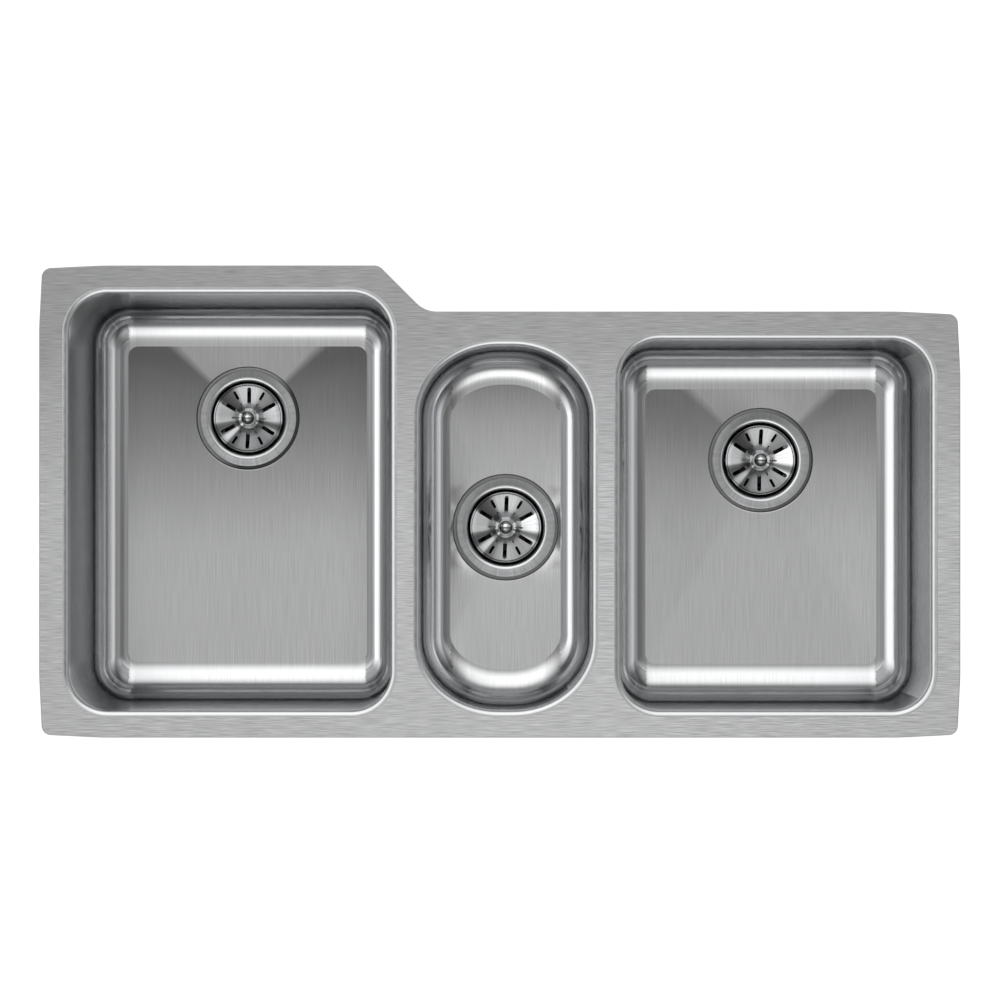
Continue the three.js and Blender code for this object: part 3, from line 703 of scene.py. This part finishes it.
def flange_outline():
    low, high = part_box("deck_flange")
    rear_right = high.y - STEP_DEPTH
    inner_left, inner_right = low.x + TAPER_LENGTH, high.x - TAPER_LENGTH
    corners = [
        (low.x + TAPER, low.y + TAPER, CORNER_RADIUS),
        (inner_left, low.y, TAPER_BEND),
        (inner_right, low.y, TAPER_BEND),
        (high.x - TAPER, low.y + TAPER, CORNER_RADIUS),
        (high.x, low.y + TAPER_LENGTH, TAPER_BEND),
        (high.x, rear_right - TAPER_LENGTH, TAPER_BEND),
        (high.x - TAPER, rear_right - TAPER, CORNER_RADIUS),
        (inner_right, rear_right, TAPER_BEND),
        (STEP_START + STEP_DEPTH, rear_right, STEP_RADII[1]),
        (STEP_START, high.y, STEP_RADII[0]),
        (inner_left, high.y, TAPER_BEND),
        (low.x + TAPER, high.y - TAPER, CORNER_RADIUS),
        (low.x, high.y - TAPER_LENGTH, TAPER_BEND),
        (low.x, low.y + TAPER_LENGTH, TAPER_BEND),
    ]
    return rounded_corners(corners, 10)


def drawn_in(outline, inset):
    """An anticlockwise outline moved in by an inset."""
    along = np.roll(outline, -1, 0) - np.roll(outline, 1, 0)
    along /= np.linalg.norm(along, axis=1, keepdims=True)
    return outline + inset * np.column_stack([-along[:, 1], along[:, 0]])


def flange_mesh(bowls, seam_z):
    """The flange: its outer edge and the lip and collar of each opening, joined by two flat faces."""
    flat, lip, under = range(3)
    bm = bmesh.new()
    uv = bm.loops.layers.uv.new("grain")
    edge = flange_outline()
    rim = [(EDGE_ROUNDING + 0.5 * MM, 0)]
    rim += [(EDGE_ROUNDING * (1 - math.sin(a)), -EDGE_ROUNDING * (1 - math.cos(a)))
            for a in np.radians([0, 30, 60, 90])]
    rim += [(inset, -SHEET - z) for inset, z in reversed(rim)]
    strips = [([with_height(drawn_in(edge, inset), z) for inset, z in rim], under)]
    support = -0.4 * MM
    lip_angles = np.radians(np.linspace(0, 90, 15))
    for bowl in bowls:
        rings = [bowl.ring(support, 0)]
        rings += [bowl.ring(LIP_REACH * math.sin(a), -LIP_DROP * (1 - math.cos(a))) for a in lip_angles]
        rings += [bowl.ring(bowl.wall_inset(z), z) for z in np.linspace(-LIP_DROP, seam_z, 4)[1:]]
        rings += [bowl.ring(bowl.wall_inset(z) - SHEET, z) for z in np.linspace(seam_z, -LIP_DROP, 4)[:-1]]
        reach, drop = LIP_REACH - SHEET, LIP_DROP - SHEET
        rings += [bowl.ring(reach * math.sin(a), -LIP_DROP + drop * math.cos(a)) for a in lip_angles[::-1]]
        rings.append(bowl.ring(support, -SHEET))
        strips.append((rings, lip))
    fills = {"top": [], "bottom": []}
    for rings, slot in strips:
        strip = swept("strip", rings, [AROUND] * len(rings), [slot] * len(rings), closed=False)
        start = len(bm.verts)
        bm.from_mesh(strip)
        bm.verts.ensure_lookup_table()
        count = len(rings[0])
        loops = {"top": start, "bottom": start + (len(rings) - 1) * count}
        for side, first in loops.items():
            ring = bm.verts[first:first + count]
            fills[side] += [bm.edges.get((ring[i - 1], ring[i])) for i in range(count)]
        bpy.data.meshes.remove(strip)
    for side, slot in (("top", flat), ("bottom", under)):
        made = bmesh.ops.triangle_fill(bm, use_beauty=True, edges=fills[side])["geom"]
        for face in (g for g in made if isinstance(g, bmesh.types.BMFace)):
            face.material_index = slot
            for loop in face.loops:
                loop[uv].uv = (loop.vert.co.y, loop.vert.co.x)
    mesh = bpy.data.meshes.new("flange_plate")
    bm.to_mesh(mesh)
    bm.free()
    return mesh


bowls = [Bowl(name) for name in BOWLS]
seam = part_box("deck_flange")[0].z
place(finished("flange_plate", flange_mesh(bowls, seam + SEAM_HALF_GAP), [FLANGE, LIP, UNDERSIDE]),
       "sink", "brushed_steel", "deck_flange")
for bowl in bowls:
    # Each floor's steel carries painted shade and light from floor_shade.
    floor = brushed_steel(bowl.name + "_floor_steel", FLOOR_LEVELS[bowl.name], contrast=0.05,
                          shade=floor_shade(bowl))
    finishes = [floor, PRESSED, UNDERSIDE, PRESSED_LIT, recess_steel(bowl), shaded_low_side_steel(bowl),
                PRESSED_SHADED, band_steel(bowl)]
    shell = finished(bowl.name + "_bowl_shell", bowl_mesh(bowl, seam - SEAM_HALF_GAP), finishes)
    place(shell, "sink", "brushed_steel", bowl.name + "_bowl")


# ---- Damping pads ----

PAD_STEP = 3 * MM
PAD_TILE = 4  # steps from one groove to the next
PAD_GROOVE = 0.6 * MM
PAD_GAP = 0.3 * MM


def pad_mesh(size_a, size_b, outer, inner):
    """A slab over a grid of (a, b) from 0 to its size, between two surfaces, tiled on its outer face."""
    count_a, count_b = round(size_a / PAD_STEP), round(size_b / PAD_STEP)
    points = []
    for i in range(count_a + 1):
        for j in range(count_b + 1):
            a, b = size_a * i / count_a, size_b * j / count_b
            face, back = outer(a, b), inner(a, b)
            if (i % PAD_TILE == 0 or j % PAD_TILE == 0) and 0 < i < count_a and 0 < j < count_b:
                face = face + (back - face).normalized() * PAD_GROOVE
            points += [face, back]
    columns = count_b + 1

    def at(i, j, side):
        return (i * columns + j) * 2 + side

    faces = []
    for i in range(count_a):
        for j in range(count_b):
            for side in (0, 1):
                faces.append([at(i, j, side), at(i + 1, j, side), at(i + 1, j + 1, side), at(i, j + 1, side)])
    edge = [(i, 0) for i in range(count_a)] + [(count_a, j) for j in range(count_b)]
    edge += [(i, count_b) for i in range(count_a, 0, -1)] + [(0, j) for j in range(count_b, 0, -1)]
    for start, end in zip(edge, edge[1:] + edge[:1]):
        faces.append([at(*start, 0), at(*end, 0), at(*end, 1), at(*start, 1)])
    mesh = bpy.data.meshes.new("pad")
    mesh.from_pydata(points, [], faces)
    layer = mesh.uv_layers.new(name="grain")
    flat = [(points[v].x + points[v].z, points[v].y + points[v].z) for face in faces for v in face]
    layer.data.foreach_set("uv", np.array(flat, np.float32).ravel())
    return mesh


def lay_pad(node, mesh):
    place(finished(node + "_sheet", mesh, [PAD], sharp=25), "sink", "damping_pad", node)


def base_pad(bowl):
    node = bowl.name + "_base_pad"
    low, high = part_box(node)

    def outer(a, b):
        return Vector((low.x + a, low.y + b, low.z))

    def inner(a, b):
        x, y = low.x + a, low.y + b
        return Vector((x, y, bowl.floor_height(x, y) - SHEET - PAD_GAP))

    lay_pad(node, pad_mesh(high.x - low.x, high.y - low.y, outer, inner))


def wall_pad(bowl, where, axis, side):
    """A pad on a side wall (axis 0) or the front wall (axis 1), facing along that axis towards side."""
    node = f"{bowl.name}_{where}_pad"
    low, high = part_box(node)
    along = 1 - axis
    face = (low if side < 0 else high)[axis]
    wall = ((bowl.x0, bowl.x1), (bowl.y0, bowl.y1))[axis][side > 0]

    def at(across, a, b):
        point = Vector((across, across, low.z + b))
        point[along] = low[along] + a
        return point

    def outer(a, b):
        return at(face, a, b)

    def inner(a, b):
        return at(wall - side * (bowl.wall_inset(low.z + b) - SHEET - PAD_GAP), a, b)

    lay_pad(node, pad_mesh(high[along] - low[along], high.z - low.z, outer, inner))


for bowl in bowls:
    base_pad(bowl)
for bowl, side in ((bowls[0], -1), (bowls[2], 1)):
    wall_pad(bowl, "side", 0, side)
for bowl in (bowls[0], bowls[2]):
    wall_pad(bowl, "front", 1, -1)


# ---- Drains. Heights are in millimetres from the top of the drain's flange, as in the CAD ----

RING_SLOT, BRIGHT_SLOT, OUTSIDE_SLOT = range(3)
THREAD_PITCH, THREAD_DEPTH = 1.6, 0.45
STEM_HOLE = 3.6  # radius of the bore of each piece on the stem
HUB = {"hub": 10.5, "reach": 20.6, "width": 3.2, "arms": 4}  # of the star that carries the basket
HUB_BORE, HUB_BOTTOM, HUB_TOP = 7.6, -40, -36
CLIP_RADIUS, CLIP_BOTTOM, CLIP_TOP, CLIP_GAP = 7, -45.5, -34.5, 2.4
KNOB_RADIUS, KNOB_CENTRE = 7.5, 3
TAIL_TOP, TAIL_LENGTH = -64.6, 101.6
STOPPER_BOTTOM = -25.57
# Rows of slots in the basket: clockwise degrees from the rear, then start, end and width.
BASKET_SLOTS = (
    ((2, 62, 122, 182, 242, 302), 16.5, 36.4, 4.6),
    ((32, 152, 212, 332), 25, 35.8, 3.2),
    ((32, 92, 152, 212, 272, 332), 11, 20, 1.6),
)
SLOT_CUTTER_BOTTOM = -16


def thread(radius, start, end):
    """Ridges of a thread, as outline points from height start to end."""
    ridges = int(abs(end - start) / THREAD_PITCH)
    step = (end - start) / ridges
    points = []
    for i in range(ridges):
        points += [(radius - THREAD_DEPTH, start + step * i, 0.1), (radius, start + step * (i + 0.5), 0.1)]
    return points


def drain_slot(radius, height):
    """Finish of the drain body: its turned ring, its bright throat or its outside."""
    if radius > 48.3 * MM and height > -0.7 * MM:
        return RING_SLOT
    outside = height < -1 * MM and radius > 43.2 * MM or radius > 40.5 * MM and height < -28 * MM
    return OUTSIDE_SLOT if outside else BRIGHT_SLOT


def star_outline(hub, reach, width, arms):
    """A round hub with straight arms."""
    points = []
    half = math.asin(width / 2 / hub)
    for arm in range(arms):
        middle = math.pi / 2 + arm * 2 * math.pi / arms
        along = Vector((math.cos(middle), math.sin(middle)))
        across = Vector((-along.y, along.x)) * width / 2
        before = middle - 2 * math.pi / arms + half
        for angle in np.linspace(before, middle - half, 8)[1:-1]:
            points.append((hub * math.cos(angle), hub * math.sin(angle)))
        root = along * hub * math.cos(half)
        points += [tuple(root - across), tuple(along * reach - across), tuple(along * reach + across),
                   tuple(root + across)]
    return np.array(points) * MM


def drain_body():
    turn = [(48 - 5 * math.sin(a), -5 + 5 * math.cos(a), 0.05) for a in np.radians(range(0, 91, 15))]
    shell = turned([
        (57.15, -1.6), (57.15, -0.7, 0.3), (55.6, 0, 0.4), (49.3, 0, 0.1), (48.9, -0.25, 0.1), (48.5, 0, 0.1),
        *turn, (42.6, -22), (40, -26, 0.6), (26, -32, 0.8), (20, -34), (20, -62), (22.9, -62),
        *thread(23.6, -60.5, -46), (23.6, -44.5), (23.6, -41, 1.5), (44.4, -31, 0.8),
        *thread(44.4, -29.5, -6), (44.4, -4), (44.4, -3.2), (46, -1.6),
    ], slot_of=drain_slot)
    hub = ring_prism(star_outline(**HUB), HUB_BORE * MM, HUB_BOTTOM * MM, HUB_TOP * MM)
    return joined(shell, hub)


def lugs(outer, count, reach, width):
    """Bends a turned ring's outside into evenly spaced lugs. Sizes in millimetres."""
    def shape(radius, angles):
        if radius < (outer - 1.2) * MM:
            return np.full(len(angles), radius)
        turn = 2 * math.pi / count
        off = np.abs((angles - math.pi / 2 + turn / 2) % turn - turn / 2) * outer
        rise = np.clip((width / 2 + 0.6 - off) / 1.2, 0, 1)
        return radius + reach * MM * rise * rise * (3 - 2 * rise)
    return shape


def slotted_cup():
    """The strainer's dish, with rounded slots cut through it."""
    dish = turned([
        (STEM_HOLE, -13.6), (12, -13.6, 3), (39.4, -4.6, 1.2), (40.5, -3.6, 0.3), (40.5, -2, 0.4),
        (39.4, -2, 0.3), (38.4, -3.2, 1.5), (34, -4.85, 4), (12, -12.6, 4), (STEM_HOLE, -12.6),
    ], name="cup")
    cup = finished("cup", dish, [BASKET])
    cutters = bmesh.new()
    for turns, start, end, width in BASKET_SLOTS:
        for turn in turns:
            add_stadium(cutters, turn, start * MM, end * MM, width * MM)
    tool_mesh = bpy.data.meshes.new("slots")
    bmesh.ops.recalc_face_normals(cutters, faces=cutters.faces)
    cutters.to_mesh(tool_mesh)
    cutters.free()
    tool_mesh.uv_layers.new(name="grain")
    tool_mesh.materials.append(SLOT_SHADE)
    tool = add_object("slots", tool_mesh)
    cut = cup.modifiers.new("slots", "BOOLEAN")
    cut.object = tool
    cut.operation = "DIFFERENCE"
    cut.solver = "EXACT"
    bpy.context.view_layer.update()
    mesh = bpy.data.meshes.new_from_object(cup.evaluated_get(bpy.context.evaluated_depsgraph_get()))
    for obj in (cup, tool):
        bpy.data.objects.remove(obj)
    slots = [face.material_index for face in mesh.polygons]
    mesh.materials.clear()
    mesh.polygons.foreach_set("material_index", slots)
    return mesh


def add_stadium(bm, turn, start, end, width):
    """An upright prism with rounded ends, turned clockwise from the rear by an angle in degrees."""
    along = Vector((math.sin(math.radians(turn)), math.cos(math.radians(turn)), 0))
    across = Vector((along.y, -along.x, 0))
    radius = width / 2
    outline = []
    for centre, first in ((end - radius, -90), (start + radius, 90)):
        for angle in np.radians(np.linspace(first, first + 180, 9)):
            outline.append(along * (centre + radius * math.cos(angle)) + across * radius * math.sin(angle))
    low = [bm.verts.new(p + Vector((0, 0, SLOT_CUTTER_BOTTOM * MM))) for p in outline]
    high = [bm.verts.new(p) for p in outline]
    bm.faces.new(low)
    bm.faces.new(high)
    for i in range(len(outline)):
        bm.faces.new((low[i - 1], low[i], high[i], high[i - 1]))


def split_sleeve():
    """The spring clip: a sleeve with one slot, swept round from one side of the slot to the other."""
    r, z = (rounded_corners([(STEM_HOLE, CLIP_BOTTOM, 0.4), (CLIP_RADIUS, CLIP_BOTTOM, 1),
                             (CLIP_RADIUS, CLIP_TOP, 1), (STEM_HOLE, CLIP_TOP, 0.4)], 3) * MM).T
    half = math.asin(CLIP_GAP / 2 / CLIP_RADIUS)
    rings = [np.stack([r * math.cos(angle), r * math.sin(angle), z], 1)
             for angle in np.linspace(math.pi / 2 + half, math.pi * 2.5 - half, 49)]
    return swept("sleeve", rings, [AROUND] * len(rings), [0] * len(rings), closed=False, caps=True)


def ball(radius, centre):
    """A knob: a ball a little flattened on top and drawn down to a short neck."""
    points = []
    for angle in np.radians(np.linspace(90, -68, 24)):
        flat = 0.9 if angle > 0 else 1
        points.append((radius * math.cos(angle), centre + radius * math.sin(angle) * flat, 0))
    points[0] = (0, points[0][1])
    neck = points[-1]
    return [*points, (neck[0], neck[1] - 0.4, 0.1), (0, neck[1] - 0.4)]


def washer(bore, radius, bottom, top, rounding=0.25):
    return turned([(bore, bottom), (radius, bottom), (radius, top), (bore, top)], rounding)


def drain_pieces(name):
    """Each piece of one drain: name, mesh, finishes, the body it rides on and its record slot."""
    basket, stopper = name + "_basket", name + "_stopper"
    tail, tail_end = TAIL_TOP, TAIL_TOP - TAIL_LENGTH
    low, flare, rim = STOPPER_BOTTOM, STOPPER_BOTTOM + 2.2, STOPPER_BOTTOM + 3
    return [
        ("drain_body", drain_body(), [DRAIN_RING, THROAT, THREAD], "sink", "polished_steel"),
        ("flange_gasket", washer(47.5, 56, -2.9, -1.9), [RUBBER], "sink", "black_rubber"),
        ("rubber_washer", washer(45, 56, -7.77, -4.77, 0.7), [RUBBER], "sink", "black_rubber"),
        ("friction_ring", washer(45, 55.5, -9.07, -8.07), [FIBRE], "sink", "fibre"),
        ("lock_nut", turned([(44.9, -18.37), (50, -18.37), (52, -17.4), (52, -10.3), (51, -9.37),
                             (44.9, -9.37)], 0.5, lugs(52, 4, 6, 12)), [CAST], "sink", "cast_metal"),
        ("tailpiece_washer", washer(19.5, 23.4, -64.3, -62.3), [NYLON], "sink", "white_nylon"),
        ("tailpiece", turned([(17.8, tail_end), (19.05, tail_end), (19.05, tail - 12, 0.1),
                              (19.05, tail - 1.5), (23.2, tail - 1.5), (23.2, tail), (17.8, tail)]),
         [POLISHED], "sink", "polished_steel"),
        ("coupling_nut", turned([(19.35, tail - 4.8), (27, tail - 4.8), (28.5, tail - 3.4), (28.5, -48),
                                 (27.5, -47), (24, -47), (24, tail - 1.8), (19.35, tail - 1.8)],
                                0.4, lugs(28.5, 6, 2.5, 7)), [POLISHED], "sink", "polished_steel"),
        ("basket_cup", slotted_cup(), [BASKET, SLOT_SHADE], basket, "turned_steel"),
        ("basket_stem", turned([(0, -48), (2.6, -48, 0.5), (3.2, -46.5), (3.2, -12.3, 0.1), (8.9, -12.3),
                                (8.9, -10.8, 0.6), (3.2, -10.8, 0.6), (3.2, -4.9), (0, -4.9)]),
         [STEM], basket, "polished_steel"),
        ("basket_knob", turned(ball(KNOB_RADIUS, KNOB_CENTRE)), [KNOB], basket, "polished_steel"),
        ("basket_backing", washer(STEM_HOLE, 19, -14.9, -13.9, 0.2), [SHADED_SPRING], basket, "spring_steel"),
        ("basket_stopper", turned([(STEM_HOLE, low), (26.2, low), (27, low + 0.9), (27, flare), (26, rim),
                                   (16, rim), (16, -15.2), (STEM_HOLE, -15.2)], 0.4),
         [RUBBER], stopper, "black_rubber"),
        ("spring_clip", split_sleeve(), [SHADED_SPRING], basket, "spring_steel"),
    ]


for bowl in bowls:
    for piece, mesh, finishes, body, slot in drain_pieces(bowl.name):
        node = bowl.name + "_" + piece
        mesh.transform(Matrix.Translation(bowl.drain))
        place(finished(node + "_shape", mesh, finishes), body, slot, node)


# ---- Studio ----

# Brightness of the studio overhead by the angle from straight up, in degrees, towards the left (-) and
# right (+), and of the softboxes by the angle towards the front (-) and rear (+).
LEFT_TO_RIGHT = (
    (-90, 0.15), (-66, 0.35), (-60, 1.35), (-36, 1.5), (-31, 1.15), (-26, 0.6), (-14, 0.6), (-6, 0.66),
    (1, 0.66), (5, 0.55), (10, 0.4), (20, 0.3), (44, 0.32), (49, 0.85), (54, 0.85), (60, 0.3), (90, 0.18),
)
FRONT_TO_REAR = (
    (-90, 0), (-62, 0.02), (-55, 0.3), (-48, 1.1), (-40, 1.25), (-32, 1.15), (-26, 0.7), (-20, 0.25),
    (-12, 0.05), (-6, 0), (4, 0), (7, 0.3), (13, 0.65), (23, 1.05), (46, 1.2), (54, 0.9), (60, 0.4),
    (68, 0.05), (90, 0),
)
# How each fades with the angle the other way.
OVERHEAD_REACH = ((0, 1), (30, 1), (62, 0.3), (180, 0.3))
SOFTBOX_REACH = ((0, 1), (22, 1), (40, 0), (180, 0))
# Light of the pale room, by the angle from straight up.
ROOM = ((0, 0.17), (58, 0.17), (76, 0.5), (90, 0.62), (180, 0.62))
FLOOR_HALF_SIZE, FLOOR_BELOW = 6, 1 * MM
FLOOR_GREY, FLOOR_GLOW = 0.3, 0.85
CAMERA_LENS, SENSOR_WIDTH = 112.23, 36
CAMERA_SHIFT = (0.00029, 0.03633)
CAMERA_HEIGHT, CAMERA_FORWARD = 3.438, 0.03835  # above the flange, and in front of the sink's middle


def studio():
    """Soft overhead light and softboxes, seen by the steel. The camera sees plain white behind the sink."""
    world = bpy.data.worlds.new("studio")
    bpy.context.scene.world = world
    n = Nodes(world)
    split = n.add("SeparateXYZ")
    n.set(split.inputs[0], n.add("TexCoord").outputs["Generated"])
    x, y, z = split.outputs
    rearward = n.math("MULTIPLY", n.math("ARCTAN2", y, z), 180 / math.pi)
    rightward = n.math("MULTIPLY", n.math("ARCTAN2", x, z), 180 / math.pi)
    overhead = n.math("MULTIPLY", n.ramp(rightward, (-180, 0), *LEFT_TO_RIGHT, (180, 0)),
                      n.ramp(n.math("ABSOLUTE", rearward), *OVERHEAD_REACH))
    softboxes = n.math("MULTIPLY", n.ramp(rearward, (-180, 0), *FRONT_TO_REAR, (180, 0)),
                       n.ramp(n.math("ABSOLUTE", rightward), *SOFTBOX_REACH))
    from_zenith = n.math("MULTIPLY", n.math("ARCCOSINE", z), 180 / math.pi)
    lit = n.math("MAXIMUM", n.math("ADD", overhead, softboxes), n.ramp(from_zenith, *ROOM))
    is_camera = n.add("LightPath").outputs["Is Camera Ray"]
    shown = n.math("ADD", n.math("MULTIPLY", lit, n.math("SUBTRACT", 1.0, is_camera)), is_camera)
    background = n.tree.nodes["Background"]
    background.inputs["Color"].default_value = (1, 1, 1, 1)
    n.set(background.inputs["Strength"], shown)


def pale_floor():
    size, z = FLOOR_HALF_SIZE, cad_box[0].z - FLOOR_BELOW
    corners = [(-size, -size, z), (size, -size, z), (size, size, z), (-size, size, z)]
    mesh = bpy.data.meshes.new("studio_floor")
    mesh.from_pydata(corners, [], [(0, 1, 2, 3)])
    n = Nodes(bpy.data.materials.new("studio_floor"))
    n.principled(Base_Color=(FLOOR_GREY, FLOOR_GREY, FLOOR_GREY, 1), Roughness=1,
                 Emission_Color=(1, 1, 1, 1), Emission_Strength=FLOOR_GLOW)
    mesh.materials.append(n.material)
    add_object("studio_floor", mesh)


def camera():
    low, high = cad_box
    data = bpy.data.cameras.new("camera")
    data.lens, data.sensor_width = CAMERA_LENS, SENSOR_WIDTH
    data.shift_x, data.shift_y = CAMERA_SHIFT
    data.clip_end = 50
    eye = add_object("camera", data)
    eye.location = ((low.x + high.x) / 2, (low.y + high.y) / 2 - CAMERA_FORWARD, CAMERA_HEIGHT)
    bpy.context.scene.camera = eye


studio()
pale_floor()
camera()
bpy.context.scene.view_settings.view_transform = "Standard"
